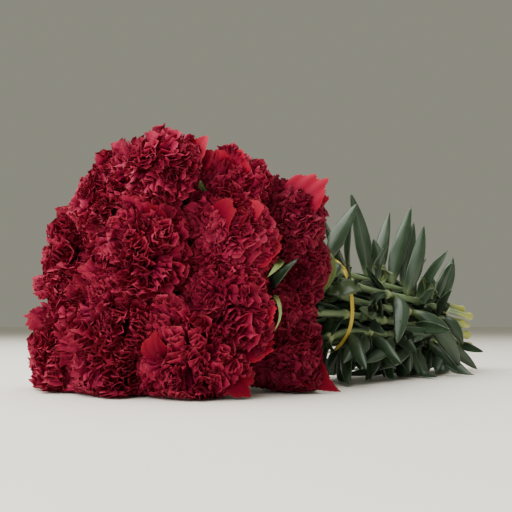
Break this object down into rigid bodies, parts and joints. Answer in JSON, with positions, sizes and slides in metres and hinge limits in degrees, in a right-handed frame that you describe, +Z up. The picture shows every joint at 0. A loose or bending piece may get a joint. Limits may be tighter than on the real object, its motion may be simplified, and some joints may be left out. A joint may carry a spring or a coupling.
{
  "type": "bunch of carnations",
  "caption": "Bunch of full red carnations lying on its side, heads pressed together, leafy stems tied with a rubber band.",
  "frame": {"origin": "middle of the bounding box's base, on the surface that the bunch lies on", "axes": "+X from the flowers towards the cut stem ends, +Y to the left when looking along +X, +Z up"},
  "size_m": [0.5254, 0.2441, 0.2215],
  "materials": {
    "petals": "matte",
    "stem": "satin",
    "leaf": "satin",
    "band": "satin"
  },
  "bodies": {
    "root": {"corolla_01": "petals", "corolla_02": "petals", "corolla_03": "petals", "corolla_04": "petals", "corolla_05": "petals", "corolla_06": "petals", "corolla_07": "petals", "corolla_08": "petals", "corolla_09": "petals", "corolla_10": "petals", "corolla_11": "petals", "corolla_12": "petals", "corolla_13": "petals", "corolla_14": "petals", "corolla_15": "petals", "corolla_16": "petals", "corolla_17": "petals", "corolla_18": "petals", "corolla_19": "petals", "corolla_20": "petals", "stem_01": "stem", "stem_02": "stem", "stem_03": "stem", "stem_04": "stem", "stem_05": "stem", "stem_06": "stem", "stem_07": "stem", "stem_08": "stem", "stem_09": "stem", "stem_10": "stem", "stem_11": "stem", "stem_12": "stem", "stem_13": "stem", "stem_14": "stem", "stem_15": "stem", "stem_16": "stem", "stem_17": "stem", "stem_18": "stem", "stem_19": "stem", "stem_20": "stem", "leaf_01": "leaf", "leaf_02": "leaf", "leaf_03": "leaf", "leaf_04": "leaf", "leaf_05": "leaf", "leaf_06": "leaf", "leaf_07": "leaf", "leaf_08": "leaf", "leaf_09": "leaf", "leaf_10": "leaf", "leaf_11": "leaf", "leaf_12": "leaf", "leaf_13": "leaf", "leaf_14": "leaf", "leaf_15": "leaf", "leaf_16": "leaf", "leaf_17": "leaf", "leaf_18": "leaf", "rubber_band": "band"}
  },
  "joints": []
}
